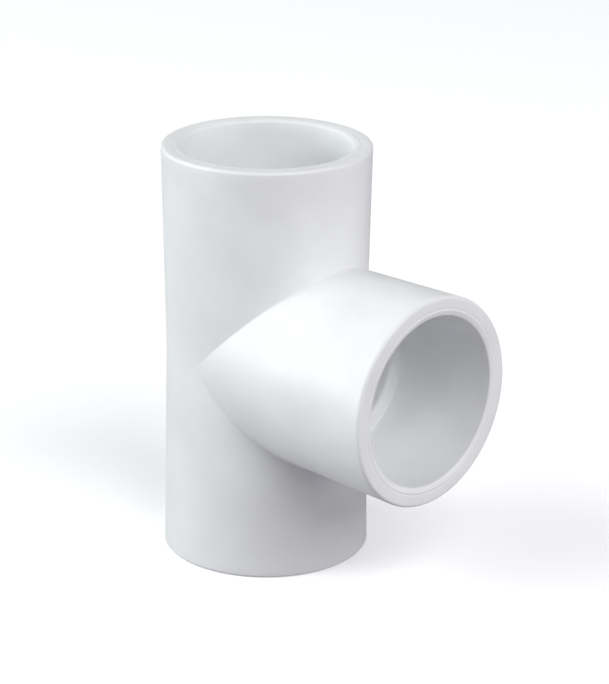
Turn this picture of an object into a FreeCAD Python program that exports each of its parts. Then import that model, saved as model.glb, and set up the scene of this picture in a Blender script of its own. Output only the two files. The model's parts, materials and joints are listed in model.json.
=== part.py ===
import FreeCAD, Part
import os
import Sketcher

# Equal tee for solvent-welded PVC-U pipe, 32 mm size, in millimetres.
# The run stands along Z on its lower mouth, whose centre is the origin. The branch leaves along +X.
# The real tee is one moulding. It is kept here as the regions a pipe fitter names: three sockets,
# the barrel between the two run sockets, and the branch's neck, which meets the barrel at a mitre.
# Every region has the same outer draft, so neighbours meet face to face and nothing overlaps.
# Each is made along its own Z axis from the point where the tee's axes cross, and then placed.

DRIVING_DIMENSIONS = [
    ("SocketBore", 32.1, "inside diameter of a socket, for 32 mm pipe"),
    ("SocketDepth", 22.0, "from a socket's mouth to its pipe stop"),
    ("WaterwayBore", 26.6, "inside diameter past the pipe stops"),
    ("RunStop", 17.7, "from the centre to a run socket's pipe stop"),
    ("BranchStop", 20.3, "from the centre to the branch socket's pipe stop"),
    ("CentreDiameter", 38.0, "outside diameter where the axes cross"),
    ("DraftAngle", 1.0, "each arm widens by this angle from the centre to its mouth"),
    ("EdgeRounding", 0.6, "radius on a mouth's outer edge"),
    ("BevelWidth", 0.9, "lead-in bevel at a mouth, across the face"),
    ("BevelDepth", 0.4, "lead-in bevel at a mouth, along the bore"),
    ("StopRounding", 0.5, "radius on a pipe stop's inner edge"),
]

STEP_FOLDER = "parts"
HORIZONTAL_AXIS = -1
VERTICAL_AXIS = -2
ORIGIN_POINT = (-1, 1)
LINE_START = 1
LINE_END = 2
CLOSE_ENOUGH = 1e-4

CENTRE_HEIGHT = "Dims.RunStop + Dims.SocketDepth"
WATERWAY_RADIUS = "Dims.WaterwayBore / 2"
SOCKET_RADIUS = "Dims.SocketBore / 2"
BEVEL_RADIUS = "Dims.SocketBore / 2 + Dims.BevelWidth"
CENTRE_RADIUS = "Dims.CentreDiameter / 2"
REACH = "Dims.CentreDiameter"

doc = FreeCAD.newDocument("TeeFitting")
dims = doc.addObject("Spreadsheet::Sheet", "Dims")


def fillSheet():
    for row, (alias, number, meaning) in enumerate(DRIVING_DIMENSIONS, start=1):
        dims.set(f"A{row}", alias)
        dims.set(f"B{row}", str(number))
        dims.setAlias(f"B{row}", alias)
        dims.set(f"C{row}", meaning)
    doc.recompute()


def outerRadiusAt(distance):
    # The drafted outside radius, as an expression, at a distance from the centre along an arm.
    return f"{CENTRE_RADIUS} + ({distance}) * tan(Dims.DraftAngle * 1 deg)"


def valueOf(expression):
    return float(dims.evalExpression(expression.replace("Dims.", "")))


def addBody(label):
    body = doc.addObject("PartDesign::Body", label)
    body.Label = label
    return body


def addOutline(body, name, corners):
    # A closed outline in the body's XZ plane. A corner is two expressions: across and along the axis.
    plane = next(item for item in body.Origin.OriginFeatures if item.Role == "XZ_Plane")
    sketch = body.newObject("Sketcher::SketchObject", name)
    sketch.AttachmentSupport = (plane, [""])
    sketch.MapMode = "FlatFace"
    points = [FreeCAD.Vector(valueOf(across), valueOf(along), 0) for across, along in corners]
    for start, end in zip(points, points[1:] + points[:1]):
        sketch.addGeometry(Part.LineSegment(start, end))
    for line in range(len(corners)):
        following = (line + 1) % len(corners)
        sketch.addConstraint(Sketcher.Constraint("Coincident", line, LINE_END, following, LINE_START))
    for line, (across, along) in enumerate(corners):
        placeCorner(sketch, line, "DistanceX", VERTICAL_AXIS, across)
        placeCorner(sketch, line, "DistanceY", HORIZONTAL_AXIS, along)
    return sketch


def placeCorner(sketch, line, kind, axis, expression):
    # Holds one coordinate of a line's start: on the axis where it is zero, else at its expression.
    if expression == "0":
        sketch.addConstraint(Sketcher.Constraint("PointOnObject", line, LINE_START, axis))
        return
    constraint = Sketcher.Constraint(kind, *ORIGIN_POINT, line, LINE_START, valueOf(expression))
    number = sketch.addConstraint(constraint)
    sketch.setExpression(f"Constraints[{number}]", expression)


def revolveOutline(body, sketch):
    revolution = body.newObject("PartDesign::Revolution", "Turned")
    revolution.Profile = sketch
    revolution.ReferenceAxis = (sketch, ["V_Axis"])
    revolution.Angle = 360
    sketch.Visibility = False
    doc.recompute()
    return revolution


def cutThrough(body, sketch):
    # Removes the outline's area right across the body, and checks that something was removed.
    before = body.Shape.Volume
    pocket = body.newObject("PartDesign::Pocket", "MitreCut")
    pocket.Profile = sketch
    pocket.Type = "ThroughAll"
    pocket.Midplane = True
    sketch.Visibility = False
    doc.recompute()
    if body.Shape.Volume > before - 1:
        raise RuntimeError(f"{body.Label}: the mitre cut removed nothing")


def roundCircles(body, radius, heights, rounding):
    # Rounds the full circles of the given radius at the given heights along the axis.
    base = body.Tip
    names = []
    for number, edge in enumerate(base.Shape.Edges, start=1):
        if not isinstance(edge.Curve, Part.Circle):
            continue
        rightRadius = abs(edge.Curve.Radius - valueOf(radius)) < CLOSE_ENOUGH
        rightHeight = any(abs(edge.Curve.Center.z - height) < CLOSE_ENOUGH for height in heights)
        if rightRadius and rightHeight:
            names.append(f"Edge{number}")
    if not names:
        raise RuntimeError(f"{body.Label}: no circle to round")
    fillet = body.newObject("PartDesign::Fillet", "Rounded")
    fillet.Base = (base, names)
    fillet.setExpression("Radius", rounding)
    doc.recompute()


def makeSocket(label, stop):
    # One socket along local Z, from its pipe stop to its mouth, with a lead-in bevel and a rounded edge.
    mouth = f"{stop} + Dims.SocketDepth"
    body = addBody(label)
    section = addOutline(body, "Section", [
        (SOCKET_RADIUS, stop),
        (outerRadiusAt(stop), stop),
        (outerRadiusAt(mouth), mouth),
        (BEVEL_RADIUS, mouth),
        (SOCKET_RADIUS, f"{mouth} - Dims.BevelDepth"),
    ])
    revolveOutline(body, section)
    roundCircles(body, outerRadiusAt(mouth), [valueOf(mouth)], "Dims.EdgeRounding")
    return body


def makeRunSocket(label):
    # The branch's crown stands a little higher than the run's pipe stop, so the mitre nicks this socket.
    body = makeSocket(label, "Dims.RunStop")
    cutThrough(body, addOutline(body, "MitreNick", [
        ("Dims.RunStop", "Dims.RunStop"),
        (REACH, "Dims.RunStop"),
        (REACH, REACH),
    ]))
    return body


def makeRunBarrel():
    # The straight barrel between the run's pipe stops, notched at 45 degrees each way for the branch.
    body = addBody("run_barrel")
    section = addOutline(body, "Section", [
        (WATERWAY_RADIUS, "-Dims.RunStop"),
        (outerRadiusAt("Dims.RunStop"), "-Dims.RunStop"),
        (CENTRE_RADIUS, "0"),
        (outerRadiusAt("Dims.RunStop"), "Dims.RunStop"),
        (WATERWAY_RADIUS, "Dims.RunStop"),
    ])
    revolveOutline(body, section)
    stops = [-valueOf("Dims.RunStop"), valueOf("Dims.RunStop")]
    roundCircles(body, WATERWAY_RADIUS, stops, "Dims.StopRounding")
    cutThrough(body, addOutline(body, "BranchNotch", [
        ("0", "0"),
        (REACH, f"-{REACH}"),
        (REACH, REACH),
    ]))
    return body


def makeBranchNeck():
    # The branch from the mitre to its pipe stop, along local Z: a tube cut to a 90 degree arrowhead.
    body = addBody("branch_neck")
    section = addOutline(body, "Section", [
        (WATERWAY_RADIUS, "0"),
        (CENTRE_RADIUS, "0"),
        (outerRadiusAt("Dims.BranchStop"), "Dims.BranchStop"),
        (WATERWAY_RADIUS, "Dims.BranchStop"),
    ])
    revolveOutline(body, section)
    roundCircles(body, WATERWAY_RADIUS, [valueOf("Dims.BranchStop")], "Dims.StopRounding")
    cutThrough(body, addOutline(body, "MitreCheeks", [
        ("0", "0"),
        (REACH, REACH),
        (REACH, f"-{REACH}"),
        (f"-{REACH}", f"-{REACH}"),
        (f"-{REACH}", REACH),
    ]))
    return body


def checkAndExport(bodies):
    doc.recompute()
    for item in doc.Objects:
        if "Invalid" in item.State or "Error" in item.State:
            raise RuntimeError(f"{item.Label} did not compute: {item.State}")
    for body in bodies:
        if body.Shape.isNull() or not body.Shape.isValid() or len(body.Shape.Solids) != 1:
            raise RuntimeError(f"{body.Label} is not one valid solid")
    os.makedirs(STEP_FOLDER, exist_ok=True)
    for body in bodies:
        body.Shape.exportStep(os.path.join(STEP_FOLDER, f"{body.Label}.step"))
        print(f"{body.Label}: {body.Shape.Volume / 1000:.2f} cm3")


def placeRegion(body, axis, angle):
    # Turns a region from its own Z axis to its arm's direction, and lifts it to the tee's centre.
    body.Placement = FreeCAD.Placement(FreeCAD.Vector(0, 0, 0), FreeCAD.Rotation(axis, angle))
    body.setExpression("Placement.Base.z", CENTRE_HEIGHT)
    return body


fillSheet()

acrossX = FreeCAD.Vector(1, 0, 0)
acrossY = FreeCAD.Vector(0, 1, 0)
regions = [
    placeRegion(makeRunSocket("upper_socket"), acrossX, 0),
    placeRegion(makeRunSocket("lower_socket"), acrossX, 180),
    placeRegion(makeRunBarrel(), acrossX, 0),
    placeRegion(makeBranchNeck(), acrossY, 90),
    placeRegion(makeSocket("branch_socket", "Dims.BranchStop"), acrossY, 90),
]
checkAndExport(regions)
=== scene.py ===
import json
import math

import bmesh
import bpy
from mathutils import Matrix, Vector


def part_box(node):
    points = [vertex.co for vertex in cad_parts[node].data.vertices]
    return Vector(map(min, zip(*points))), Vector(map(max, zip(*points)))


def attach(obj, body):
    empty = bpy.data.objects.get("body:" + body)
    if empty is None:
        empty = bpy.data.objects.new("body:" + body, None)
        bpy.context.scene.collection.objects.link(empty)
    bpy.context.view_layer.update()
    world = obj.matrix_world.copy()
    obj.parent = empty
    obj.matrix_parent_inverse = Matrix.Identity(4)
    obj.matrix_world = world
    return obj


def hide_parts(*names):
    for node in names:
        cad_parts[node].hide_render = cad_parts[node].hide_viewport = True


# A white PVC-U tee for 32 mm solvent-weld pipe, standing on its lower mouth.
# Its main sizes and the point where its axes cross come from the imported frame.

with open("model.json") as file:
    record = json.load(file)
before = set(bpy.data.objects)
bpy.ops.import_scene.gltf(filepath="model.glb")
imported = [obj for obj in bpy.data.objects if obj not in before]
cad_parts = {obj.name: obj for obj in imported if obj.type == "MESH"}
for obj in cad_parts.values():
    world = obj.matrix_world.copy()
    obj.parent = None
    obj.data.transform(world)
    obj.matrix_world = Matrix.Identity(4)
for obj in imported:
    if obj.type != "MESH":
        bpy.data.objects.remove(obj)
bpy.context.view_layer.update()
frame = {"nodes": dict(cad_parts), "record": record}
print("frame loaded:", ", ".join(sorted(frame["nodes"])))

millimetre = 0.001

upperLow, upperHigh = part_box("upper_socket")
barrelLow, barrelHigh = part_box("run_barrel")
boreMount = next(mount for mount in frame["record"]["mounts"] if mount["name"] == "branch_socket_bore")

centreHeight = (barrelLow.z + barrelHigh.z) / 2
runMouth = upperHigh.z - centreHeight
runStop = barrelHigh.z - centreHeight
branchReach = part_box("branch_socket")[1].x - runMouth  # how much longer the branch is than half the run
mouthRadius = (upperHigh.y - upperLow.y) / 2
socketRadius = boreMount["dims"]["r_mm"] * millimetre


def linearColour(text):
    # an sRGB hex value as the linear colour that shaders want
    channels = [int(text[i:i + 2], 16) / 255 for i in (1, 3, 5)]
    return [c / 12.92 if c <= 0.04045 else ((c + 0.055) / 1.055) ** 2.4 for c in channels] + [1.0]


def perMetre(sizeInMillimetres):
    # a pattern's scale, for a feature of this size
    return 1 / (sizeInMillimetres * millimetre)


def addNode(tree, kind, settings=None, inputs=None):
    # settings are the node's own fields; inputs go by name, or by place where a node repeats a name,
    # and take a value, an output socket, or a node for its first output
    node = tree.nodes.new(kind)
    for field, value in (settings or {}).items():
        setattr(node, field, value)
    for key, value in (inputs or {}).items():
        if isinstance(value, bpy.types.Node):
            value = value.outputs[0]
        if isinstance(value, bpy.types.NodeSocket):
            tree.links.new(value, node.inputs[key])
        else:
            node.inputs[key].default_value = value
    return node


moulding = {
    "columns": 256,            # vertices round each arm, a multiple of 4
    "draftAngle": 1.0,         # degrees that each arm widens towards its mouth
    "waterwayRadius": 13.3,    # mm, past the pipe stops
    "creaseRadius": 0.6,       # mm, fillet where branch and run meet outside
    "innerCreaseRadius": 0.6,  # mm, the same edge in the waterway
    "edgeRadius": 0.6,         # mm, a mouth's outer edge
    "bevelWidth": 0.9,         # mm, lead-in bevel across the face
    "bevelDepth": 0.28,        # mm, lead-in bevel along the bore
    "witnessGap": 0.2,         # mm, from the bevel to the ring that the core pin leaves
    "witnessWidth": 0.3,       # mm, across that ring
    "witnessDepth": 0.07,      # mm
    "bevelSoftness": 0.3,      # mm, radius where the bevel meets face and bore
    "softEdge": 0.12,          # mm, the small radius that a moulded corner keeps
    "stopRadius": 0.9,         # mm, a pipe stop's inner edge
    "regularFrom": 22.0,       # mm from the centre, past which every column is the same
    "waviness": 0.02,          # mm, how far cooling has drawn the walls in
    "wavinessSize": 11.0,      # mm, from one hollow to the next
    "weldDistance": 0.002,     # mm, between vertices that become one at a crease
    "wallEase": 1.3,           # above 1, the wall's rows are spaced wider near the crease
    "waterEase": 1.2,          # the same in the waterway
}


def profileRows(sizes):
    # Rows of the half section, from the outer crease over the mouth to the crease in the waterway.
    # A row is station along the arm, radius at station zero, slope, pull towards the crease,
    # turn round the crease's fillet, that fillet's radius, and 1 inside the bore.
    mm = {name: value * millimetre for name, value in sizes.items()}
    draft = math.tan(math.radians(sizes["draftAngle"]))
    edge, ease, soft = mm["edgeRadius"], mm["bevelSoftness"], mm["softEdge"]
    waterway, stop, regular = mm["waterwayRadius"], mm["stopRadius"], mm["regularFrom"]
    centreRadius = mouthRadius - draft * runMouth
    rows = []

    # how many steps each stretch takes
    creaseSteps, wallSteps, socketSteps, edgeSteps, bevelSteps = 5, 16, 10, 7, 4
    boreEdgeSteps, boreSteps, cornerSteps, stopSteps, waterSteps = 6, 12, 3, 6, 14

    def addRow(station, radius, slope=0.0, pull=0.0, turn=0.0, inside=0.0):
        fillet = mm["innerCreaseRadius"] if inside else mm["creaseRadius"]
        rows.append((station, radius - slope * station, slope, pull, turn, fillet, inside))

    def addArc(station, radius, size, start, end, count, slope=0.0, inside=0.0):
        # an arc about a centre; its angle is measured from the radial direction towards the mouth
        for step in range(count + 1):
            angle = math.radians(start + (end - start) * step / count)
            across = radius + size * math.cos(angle)
            addRow(station + size * math.sin(angle), across, slope, inside=inside)

    # half of the crease's fillet, then the drafted wall
    for step in range(creaseSteps):
        addRow(0.0, centreRadius, draft, pull=1.0, turn=0.5 * (1 - step / creaseSteps))
    for step in range(wallSteps + 1):
        pull = (1 - step / wallSteps) ** sizes["wallEase"]
        addRow(regular, centreRadius + draft * regular, draft, pull)
    socketEnd = runMouth - edge
    for step in range(1, socketSteps):
        station = regular + (socketEnd - regular) * step / socketSteps
        addRow(station, centreRadius + draft * station, draft)
    addArc(socketEnd, mouthRadius - edge, edge, 0, 90, edgeSteps, draft)

    # the face, with the ring where core pin and cavity met, and a row at its edge to shade it flat
    bevelRadius = socketRadius + mm["bevelWidth"]
    bevelAngle = math.degrees(math.atan2(mm["bevelDepth"], mm["bevelWidth"]))
    tangent = ease * math.tan(math.radians(bevelAngle / 2))
    ringRadius = bevelRadius + tangent + mm["witnessGap"] + mm["witnessWidth"] / 2
    addRow(runMouth, mouthRadius - edge - soft)
    # the ring's section, in ring widths across and ring depths down
    section = ((0.8, 0), (0.5, 0.15), (0.15, 1), (-0.15, 1), (-0.5, 0.15), (-0.8, 0))
    for side, depth in section:
        addRow(runMouth - depth * mm["witnessDepth"], ringRadius + side * mm["witnessWidth"])
    addArc(runMouth - ease, bevelRadius + tangent, ease, 90, 90 + bevelAngle, bevelSteps)

    # down the bevel into the bore, whose edge is rounded alike
    tangent = ease * math.tan(math.radians(45 - bevelAngle / 2))
    boreStart = runMouth - mm["bevelDepth"] - tangent
    addArc(boreStart, socketRadius + ease, ease, 90 + bevelAngle, 180, boreEdgeSteps)
    boreEnd = runStop + soft * 2
    for step in range(1, boreSteps + 1):
        addRow(boreStart + (boreEnd - boreStart) * step / boreSteps, socketRadius, inside=1.0)

    # the corner, the pipe stop's face and rounded edge, and the waterway to its own crease
    addArc(runStop + soft, socketRadius - soft, soft, 0, -90, cornerSteps, inside=1.0)
    addRow(runStop, socketRadius - soft * 2, inside=1.0)
    addRow(runStop, waterway + stop + soft, inside=1.0)
    waterStart = runStop - stop
    addArc(waterStart, waterway + stop, stop, 90, 180, stopSteps, inside=1.0)
    for step in range(1, waterSteps + 1):
        pull = (step / waterSteps) ** sizes["waterEase"]
        addRow(waterStart, waterway, pull=pull, inside=1.0)
    for step in range(1, creaseSteps + 1):
        addRow(waterStart, waterway, pull=1.0, turn=0.5 * step / creaseSteps, inside=1.0)
    return rows


def makeProfile(rows):
    mesh = bpy.data.meshes.new("teeProfile")
    links = [(i, i + 1) for i in range(len(rows) - 1)]
    mesh.from_pydata([(row[0], row[1], 0) for row in rows], links, [])
    rule = mesh.attributes.new("rule", "FLOAT_VECTOR", "POINT")
    skin = mesh.attributes.new("skin", "FLOAT_VECTOR", "POINT")
    for index, row in enumerate(rows):
        rule.data[index].vector = row[2:5]
        skin.data[index].vector = (*row[5:7], 0)
    return mesh


def makeArmTree():
    # One arm along Z: the profile's rows turned about Z. The column at angle a runs towards
    # (sin a, cos a). Where x > 0 it stops at the crease with the next arm; with Mirror at -1
    # it does so on both sides.
    tree = bpy.data.node_groups.new("turnArm", "GeometryNodeTree")
    for name, kind in (("Profile", "Geometry"), ("Columns", "Int"), ("Mirror", "Float"),
                       ("Extra Reach", "Float")):
        tree.interface.new_socket(name, in_out="INPUT", socket_type="NodeSocket" + kind)
    tree.interface.new_socket("Arm", in_out="OUTPUT", socket_type="NodeSocketGeometry")
    given = addNode(tree, "NodeGroupInput").outputs

    # a flat grid with one vertex for each column and row
    rowCount = addNode(tree, "GeometryNodeAttributeDomainSize", None, {0: given["Profile"]})
    seam = addNode(tree, "FunctionNodeIntegerMath", {"operation": "ADD"}, {0: given["Columns"], 1: 1})
    grid = addNode(tree, "GeometryNodeMeshGrid", None, {"Vertices X": seam, "Vertices Y": rowCount})
    index = addNode(tree, "GeometryNodeInputIndex")
    column = addNode(tree, "FunctionNodeIntegerMath", {"operation": "DIVIDE_FLOOR"},
                     {0: index, 1: rowCount})
    row = addNode(tree, "FunctionNodeIntegerMath", {"operation": "MODULO"}, {0: index, 1: rowCount})

    # what the profile says about this row
    sources = [addNode(tree, "GeometryNodeInputPosition")]
    for name in ("rule", "skin"):
        sources.append(addNode(tree, "GeometryNodeInputNamedAttribute", {"data_type": "FLOAT_VECTOR"},
                               {"Name": name}))
    sampled = []
    for source in sources:
        sample = addNode(tree, "GeometryNodeSampleIndex", {"data_type": "FLOAT_VECTOR"},
                         {0: given["Profile"], 1: source, 2: row})
        sampled += list(addNode(tree, "ShaderNodeSeparateXYZ", None, {0: sample}).outputs)
    station, base, _, slope, pull, turn, fillet, inside, _ = sampled

    # the column's direction, and how squarely it faces the crease
    share = addNode(tree, "ShaderNodeMath", {"operation": "DIVIDE"}, {0: column, 1: given["Columns"]})
    angle = addNode(tree, "ShaderNodeMath", {"operation": "MULTIPLY"}, {0: share, 1: math.tau})
    sine = addNode(tree, "ShaderNodeMath", {"operation": "SINE"}, {0: angle})
    cosine = addNode(tree, "ShaderNodeMath", {"operation": "COSINE"}, {0: angle})
    farSide = addNode(tree, "ShaderNodeMath", {"operation": "MULTIPLY"}, {0: sine, 1: given["Mirror"]})
    facing = addNode(tree, "ShaderNodeMath", {"operation": "MAXIMUM"}, {0: sine, 1: farSide})

    # a ball that rolls along the crease touches both arms; this is its station on this column
    ballRadius = addNode(tree, "ShaderNodeMath", {"operation": "ADD"}, {0: base, 1: fillet})
    ballSide = addNode(tree, "ShaderNodeMath", {"operation": "MULTIPLY"}, {0: ballRadius, 1: facing})
    leaning = addNode(tree, "ShaderNodeMath", {"operation": "MULTIPLY"}, {0: slope, 1: facing})
    upright = addNode(tree, "ShaderNodeMath", {"operation": "SUBTRACT"}, {0: 1.0, 1: leaning})
    crease = addNode(tree, "ShaderNodeMath", {"operation": "DIVIDE"}, {0: ballSide, 1: upright})

    # pulled rows slide along the wall towards that station
    free = addNode(tree, "ShaderNodeMath", {"operation": "ADD"}, {0: station, 1: given["Extra Reach"]})
    along = addNode(tree, "ShaderNodeMix", {"data_type": "FLOAT"}, {0: pull, 2: free, 3: crease})
    across = addNode(tree, "ShaderNodeMath", {"operation": "MULTIPLY_ADD"},
                     {0: slope, 1: along, 2: base})

    # the last rows turn about the ball, from this arm's wall half of the way to the next arm's
    outward = addNode(tree, "ShaderNodeCombineXYZ", None, {0: sine, 1: cosine})
    nextWall = addNode(tree, "ShaderNodeCombineXYZ", None, {1: cosine, 2: facing})
    hasCrease = addNode(tree, "ShaderNodeMath", {"operation": "SIGN"}, {0: facing})
    turned = addNode(tree, "ShaderNodeMath", {"operation": "MULTIPLY"}, {0: turn, 1: hasCrease})
    between = addNode(tree, "ShaderNodeMix", {"data_type": "VECTOR"},
                      {0: turned, 4: outward, 5: nextWall})
    contact = addNode(tree, "ShaderNodeVectorMath", {"operation": "NORMALIZE"}, {0: between.outputs[1]})
    ballAcross = addNode(tree, "ShaderNodeMath", {"operation": "ADD"}, {0: across, 1: fillet})
    ballAlong = addNode(tree, "ShaderNodeCombineXYZ", None, {2: along})
    ball = addNode(tree, "ShaderNodeVectorMath", {"operation": "MULTIPLY_ADD"},
                   {0: outward, 1: ballAcross, 2: ballAlong})
    towards = addNode(tree, "ShaderNodeMath", {"operation": "MULTIPLY"}, {0: fillet, 1: -1.0})
    place = addNode(tree, "ShaderNodeVectorMath", {"operation": "MULTIPLY_ADD"},
                    {0: contact, 1: towards, 2: ball})

    placed = addNode(tree, "GeometryNodeSetPosition", None, {0: grid, "Position": place})
    outwards = addNode(tree, "GeometryNodeFlipFaces", None, {0: placed})
    # the finish reads how far along its arm a point is, and whether a core pin or the cavity shaped it
    told = outwards
    for name, value in (("along", along), ("inside", inside)):
        told = addNode(tree, "GeometryNodeStoreNamedAttribute",
                       {"data_type": "FLOAT", "domain": "POINT"},
                       {0: told, "Name": name, "Value": value})
    addNode(tree, "NodeGroupOutput", None, {"Arm": told})
    return tree


def makeTeeTree(armTree, finish):
    # three arms turned into place and welded along their creases
    tree = bpy.data.node_groups.new("pipeTee", "GeometryNodeTree")
    for name, kind in (("Profile", "Geometry"), ("Columns", "Int"), ("Branch Reach", "Float"),
                       ("Centre Height", "Float"), ("Weld Distance", "Float"),
                       ("Waviness", "Float"), ("Waviness Scale", "Float")):
        tree.interface.new_socket(name, in_out="INPUT", socket_type="NodeSocket" + kind)
    tree.interface.new_socket("Geometry", in_out="OUTPUT", socket_type="NodeSocketGeometry")
    given = addNode(tree, "NodeGroupInput").outputs

    joined = addNode(tree, "GeometryNodeJoinGeometry")
    for mirror, reach, turn in ((0.0, 0.0, (0, 0, 0)), (0.0, 0.0, (math.pi, 0, 0)),
                                (-1.0, given["Branch Reach"], (0, math.pi / 2, 0))):
        arm = addNode(tree, "GeometryNodeGroup", {"node_tree": armTree},
                      {"Profile": given["Profile"], "Columns": given["Columns"],
                       "Mirror": mirror, "Extra Reach": reach})
        aimed = addNode(tree, "GeometryNodeTransform", None, {0: arm, "Rotation": turn})
        tree.links.new(aimed.outputs[0], joined.inputs[0])
    welded = addNode(tree, "GeometryNodeMergeByDistance", None,
                     {0: joined, "Distance": given["Weld Distance"]})
    lift = addNode(tree, "ShaderNodeCombineXYZ", None, {2: given["Centre Height"]})
    stood = addNode(tree, "GeometryNodeTransform", None, {0: welded, "Translation": lift})

    # cooling draws thick walls in a little, so the skin is never quite true
    wave = addNode(tree, "ShaderNodeTexNoise", {"noise_dimensions": "3D"},
                   {"Scale": given["Waviness Scale"], "Detail": 1.0, "Roughness": 0.4})
    depth = addNode(tree, "ShaderNodeMath", {"operation": "MULTIPLY"}, {0: wave, 1: given["Waviness"]})
    inwards = addNode(tree, "ShaderNodeMath", {"operation": "MULTIPLY"}, {0: depth, 1: -1.0})
    normal = addNode(tree, "GeometryNodeInputNormal")
    drawn = addNode(tree, "ShaderNodeVectorMath", {"operation": "SCALE"}, {0: normal, "Scale": inwards})
    waved = addNode(tree, "GeometryNodeSetPosition", None, {0: stood, "Offset": drawn})
    smooth = addNode(tree, "GeometryNodeSetShadeSmooth", None, {0: waved})
    real = addNode(tree, "GeometryNodeRealizeInstances", None, {0: smooth})
    dressed = addNode(tree, "GeometryNodeSetMaterial", None, {0: real, "Material": finish})
    addNode(tree, "NodeGroupOutput", None, {"Geometry": dressed})
    return tree


def makeMoulding(finish):
    source = bpy.data.objects.new("teeProfile", makeProfile(profileRows(moulding)))
    bpy.context.scene.collection.objects.link(source)
    modifier = source.modifiers.new("pipeTee", "NODES")
    modifier.node_group = makeTeeTree(makeArmTree(), finish)
    values = {
        "Columns": moulding["columns"],
        "Branch Reach": branchReach,
        "Centre Height": centreHeight,
        "Weld Distance": moulding["weldDistance"] * millimetre,
        "Waviness": moulding["waviness"] * millimetre,
        "Waviness Scale": perMetre(moulding["wavinessSize"]),
    }
    for item in modifier.node_group.interface.items_tree:
        if item.in_out == "INPUT" and item.name in values:
            modifier[item.identifier] = values[item.name]

    evaluated = source.evaluated_get(bpy.context.evaluated_depsgraph_get())
    mesh = bpy.data.meshes.new_from_object(evaluated)
    mesh.name = "tee_moulding"
    source.modifiers.clear()
    bpy.data.objects.remove(source)

    # the welded skin is one closed surface, so its normals can be turned outwards together
    shell = bmesh.new()
    shell.from_mesh(mesh)
    bmesh.ops.recalc_face_normals(shell, faces=shell.faces)
    openEdges = sum(1 for edge in shell.edges if not edge.is_manifold)
    volume = shell.calc_volume(signed=True) * 1e6   # cubic centimetres
    print("open edges:", openEdges, "volume cm3:", round(volume, 2), "faces:", len(shell.faces))
    shell.to_mesh(mesh)
    shell.free()
    piece = bpy.data.objects.new("tee_moulding", mesh)
    bpy.context.scene.collection.objects.link(piece)
    return piece


pvc = {
    "white": "#f2f4f4",        # titanium white, a little cool
    "cloud": "#ebecee",        # where the pigment is thinner
    "cloudSize": 14.0,         # mm, from one cloud to the next
    "cloudRange": (0.35, 0.7), # the noise values where a cloud begins and is full
    "roughness": 0.45,
    "glossChange": 0.03,       # how much the roughness wanders
    "glossSize": 5.0,          # mm
    "glossRange": (0.3, 0.7),  # the noise values that give the least and most roughness
    "ior": 1.53,
    "glow": 0.2,               # how much of the light goes a little way in
    "glowDepth": 1.5,          # mm
    "glowReach": (1.0, 0.95, 0.9),  # of red, green and blue light
    "peelSize": 1.2,           # mm, orange peel, drawn coarser than the real 0.5 so that it shows
    "peelDepth": 0.004,        # mm
    "pinPitch": 0.4,           # mm between the polishing rings of a core pin, also drawn coarser
    "pinDepth": 0.002,         # mm
}


def makePvc():
    # Rigid PVC, injection moulded in a polished tool: a dense, slightly milky white with an even
    # soft gloss, the faintest orange peel all over, and fine rings in the bores from the turned
    # core pins.
    material = bpy.data.materials.new("PVC-U, injection moulded")
    material.use_nodes = True
    tree = material.node_tree
    tree.nodes.clear()
    where = addNode(tree, "ShaderNodeTexCoord").outputs["Object"]
    along = addNode(tree, "ShaderNodeAttribute", {"attribute_name": "along"}).outputs["Fac"]
    inside = addNode(tree, "ShaderNodeAttribute", {"attribute_name": "inside"}).outputs["Fac"]

    cloud = addNode(tree, "ShaderNodeTexNoise", None,
                    {"Vector": where, "Scale": perMetre(pvc["cloudSize"]),
                     "Detail": 3.0, "Roughness": 0.5})
    cloudStart, cloudFull = pvc["cloudRange"]
    thin = addNode(tree, "ShaderNodeMapRange", None, {0: cloud, 1: cloudStart, 2: cloudFull})
    colour = addNode(tree, "ShaderNodeMix", {"data_type": "RGBA"},
                     {0: thin, 6: linearColour(pvc["white"]), 7: linearColour(pvc["cloud"])})
    patch = addNode(tree, "ShaderNodeTexNoise", None,
                    {"Vector": where, "Scale": perMetre(pvc["glossSize"]),
                     "Detail": 2.0, "Roughness": 0.5})
    glossStart, glossEnd = pvc["glossRange"]
    gloss = addNode(tree, "ShaderNodeMapRange", None,
                    {0: patch, 1: glossStart, 2: glossEnd,
                     3: pvc["roughness"] - pvc["glossChange"], 4: pvc["roughness"] + pvc["glossChange"]})

    peel = addNode(tree, "ShaderNodeTexNoise", None,
                   {"Vector": where, "Scale": perMetre(pvc["peelSize"]),
                    "Detail": 1.0, "Roughness": 0.4})
    rings = addNode(tree, "ShaderNodeTexNoise", {"noise_dimensions": "1D"},
                    {"W": along, "Scale": perMetre(pvc["pinPitch"]), "Detail": 1.0, "Roughness": 0.5})
    skin = addNode(tree, "ShaderNodeBump", None,
                   {"Strength": 1.0, "Distance": pvc["peelDepth"] * millimetre, "Height": peel})
    ringHeight = addNode(tree, "ShaderNodeMath", {"operation": "MULTIPLY"}, {0: rings, 1: inside})
    relief = addNode(tree, "ShaderNodeBump", None,
                     {"Strength": 1.0, "Distance": pvc["pinDepth"] * millimetre,
                      "Height": ringHeight, "Normal": skin})
    shader = addNode(tree, "ShaderNodeBsdfPrincipled", None, {
        "Base Color": colour.outputs[2], "Roughness": gloss, "IOR": pvc["ior"], "Normal": relief,
        "Subsurface Weight": pvc["glow"], "Subsurface Radius": pvc["glowReach"],
        "Subsurface Scale": pvc["glowDepth"] * millimetre,
    })
    addNode(tree, "ShaderNodeOutputMaterial", None, {"Surface": shader})
    return material


tee = makeMoulding(makePvc())
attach(tee, "root")
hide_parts("upper_socket", "lower_socket", "run_barrel", "branch_neck", "branch_socket")
print("moulding made:", len(tee.data.vertices), "vertices,", len(tee.data.polygons), "faces")


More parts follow.
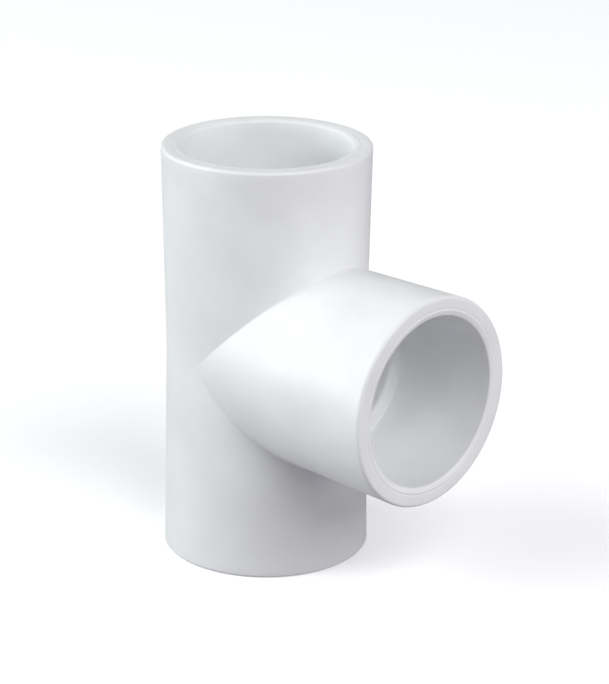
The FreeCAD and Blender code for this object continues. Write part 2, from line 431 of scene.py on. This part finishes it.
floorPaper = {
    "white": "#fbfbfc",
    "fibre": "#f8f8f9",
    "fibreSize": 3.0,          # mm, drawn coarser than real fibres so that it shows
    "roughness": 0.9,
    "sheen": 0.1,              # specular level, far below the usual 0.5
    "backLight": 0.3,          # light through the paper from below, as on a shooting table
    "columns": 64,             # round the sweep
    # metres out and up
    "sweep": ((2.2, 0.0), (2.45, 0.03), (2.7, 0.13), (2.87, 0.3),
              (2.97, 0.55), (3.0, 0.8), (3.0, 2.5)),
}


def makeFloor():
    # Matt studio paper: no gloss, and the faintest mottle of its fibres.
    material = bpy.data.materials.new("studio paper, matt")
    material.use_nodes = True
    tree = material.node_tree
    tree.nodes.clear()
    where = addNode(tree, "ShaderNodeTexCoord").outputs["Object"]
    fibres = addNode(tree, "ShaderNodeTexNoise", None,
                     {"Vector": where, "Scale": perMetre(floorPaper["fibreSize"]), "Detail": 2.0})
    colour = addNode(tree, "ShaderNodeMix", {"data_type": "RGBA"},
                     {0: fibres, 6: linearColour(floorPaper["white"]),
                      7: linearColour(floorPaper["fibre"])})
    shader = addNode(tree, "ShaderNodeBsdfPrincipled", None,
                     {"Base Color": colour.outputs[2], "Roughness": floorPaper["roughness"],
                      "Specular IOR Level": floorPaper["sheen"],
                      "Emission Color": linearColour(floorPaper["white"]),
                      "Emission Strength": floorPaper["backLight"]})
    addNode(tree, "ShaderNodeOutputMaterial", None, {"Surface": shader})

    # flat round the tee, then swept up all round, so that a low view still ends on paper
    sweep, columns = floorPaper["sweep"], floorPaper["columns"]
    angles = [column * math.tau / columns for column in range(columns)]
    points = [(0, 0, 0)]
    for radius, rise in sweep:
        points += [(radius * math.cos(angle), radius * math.sin(angle), rise) for angle in angles]
    around = [(column, (column + 1) % columns) for column in range(columns)]
    faces = [(0, 1 + this, 1 + other) for this, other in around]
    for ring in range(len(sweep) - 1):
        inner = 1 + ring * columns
        outer = inner + columns
        faces += [(inner + this, outer + this, outer + other, inner + other) for this, other in around]
    mesh = bpy.data.meshes.new("studio_floor")
    mesh.from_pydata(points, [], faces)
    mesh.shade_smooth()
    mesh.materials.append(material)
    floor = bpy.data.objects.new("studio_floor", mesh)
    bpy.context.scene.collection.objects.link(floor)
    # the walls' light reaches under the tee too, as if it stood on clear glass well above the paper
    floor.visible_diffuse = False
    floor.visible_glossy = False
    floor.visible_shadow = False


camera = {
    "azimuth": 44.13,          # degrees; 0 looks along +Y
    "elevation": 20.19,
    "roll": 0.47,
    "distance": 486.3,         # mm from the point looked at
    "aimRight": 7.25,          # mm from where the tee's axes cross
    "aimUp": 0.48,
    "lens": 134.5,             # mm
    "nearest": 10.0,           # mm, nothing nearer is drawn
}


def directionTo(azimuth, elevation):
    # from the tee, in degrees; azimuth 0 is the side that is seen looking along +Y
    turn, rise = math.radians(azimuth), math.radians(elevation)
    return Vector((math.sin(turn) * math.cos(rise), -math.cos(turn) * math.cos(rise), math.sin(rise)))


def makeCamera():
    back = directionTo(camera["azimuth"], camera["elevation"])
    turn, roll = math.radians(camera["azimuth"]), math.radians(camera["roll"])
    level = Vector((math.cos(turn), math.sin(turn), 0))
    upright = back.cross(level)
    right = level * math.cos(roll) + upright * math.sin(roll)
    up = upright * math.cos(roll) - level * math.sin(roll)
    aim = Vector((0, 0, centreHeight)) + (right * camera["aimRight"] + up * camera["aimUp"]) * millimetre
    data = bpy.data.cameras.new("studio_camera")
    data.lens = camera["lens"]
    data.clip_start = camera["nearest"] * millimetre
    holder = bpy.data.objects.new("studio_camera", data)
    place = aim + back * camera["distance"] * millimetre
    holder.matrix_world = Matrix.Translation(place) @ Matrix((right, up, back)).transposed().to_4x4()
    bpy.context.scene.collection.objects.link(holder)
    bpy.context.scene.camera = holder


studio = {
    "world": "#f9f5ff",
    "worldStrength": 0.33,
    "darkFrom": 12,            # degrees up, where the pale walls begin to fade
    "darkAbove": 37,           # degrees up, where they end at the dark ceiling
    # name, degrees round from the camera, degrees up, metres away, width and height in metres, watts,
    # colour
    "softboxes": (
        ("left_softbox", -88, 9, 1.6, 1.1, 0.48, 11.2, "#f9fffd"),
        ("back_left_softbox", -122, 9, 1.6, 1.1, 0.48, 3.4, "#fbfffe"),
        ("right_softbox", 90, 9, 1.6, 1.1, 0.48, 3.6, "#ffffff"),
        ("high_left_softbox", -75, 42, 1.6, 1.1, 1.1, 10.6, "#fafffd"),
        ("high_right_softbox", 35, 42, 1.6, 1.1, 1.1, 18, "#fffeff"),
        ("high_back_softbox", 180, 42, 1.6, 1.1, 1.1, 3.1, "#f9fdff"),
    ),
}


def makeWorld():
    # pale walls all round and below, and a dark ceiling that glossy edges reflect a little
    world = bpy.data.worlds.new("pale studio")
    bpy.context.scene.world = world
    world.use_nodes = True
    tree = world.node_tree
    tree.nodes.clear()
    direction = addNode(tree, "ShaderNodeTexCoord").outputs["Generated"]
    rise = addNode(tree, "ShaderNodeSeparateXYZ", None, {0: direction}).outputs["Z"]
    strength = addNode(tree, "ShaderNodeMapRange", None,
                       {0: rise, 1: math.sin(math.radians(studio["darkFrom"])),
                        2: math.sin(math.radians(studio["darkAbove"])),
                        3: studio["worldStrength"], 4: 0.0})
    background = addNode(tree, "ShaderNodeBackground", None,
                         {"Color": linearColour(studio["world"]), "Strength": strength})
    addNode(tree, "ShaderNodeOutputWorld", None, {"Surface": background})


def makeSoftboxes():
    middle = Vector((0, 0, centreHeight))
    for name, turn, height, away, width, tall, power, colour in studio["softboxes"]:
        towards = directionTo(camera["azimuth"] + turn, height)
        light = bpy.data.lights.new(name, "AREA")
        light.shape = "RECTANGLE"
        light.size, light.size_y = width, tall
        light.energy = power
        light.color = linearColour(colour)[:3]
        holder = bpy.data.objects.new(name, light)
        holder.location = middle + towards * away
        holder.rotation_euler = (-towards).to_track_quat("-Z", "Y").to_euler()
        bpy.context.scene.collection.objects.link(holder)


makeFloor()
makeCamera()
makeWorld()
makeSoftboxes()
bpy.context.scene.view_settings.view_transform = "Standard"
print("studio made")
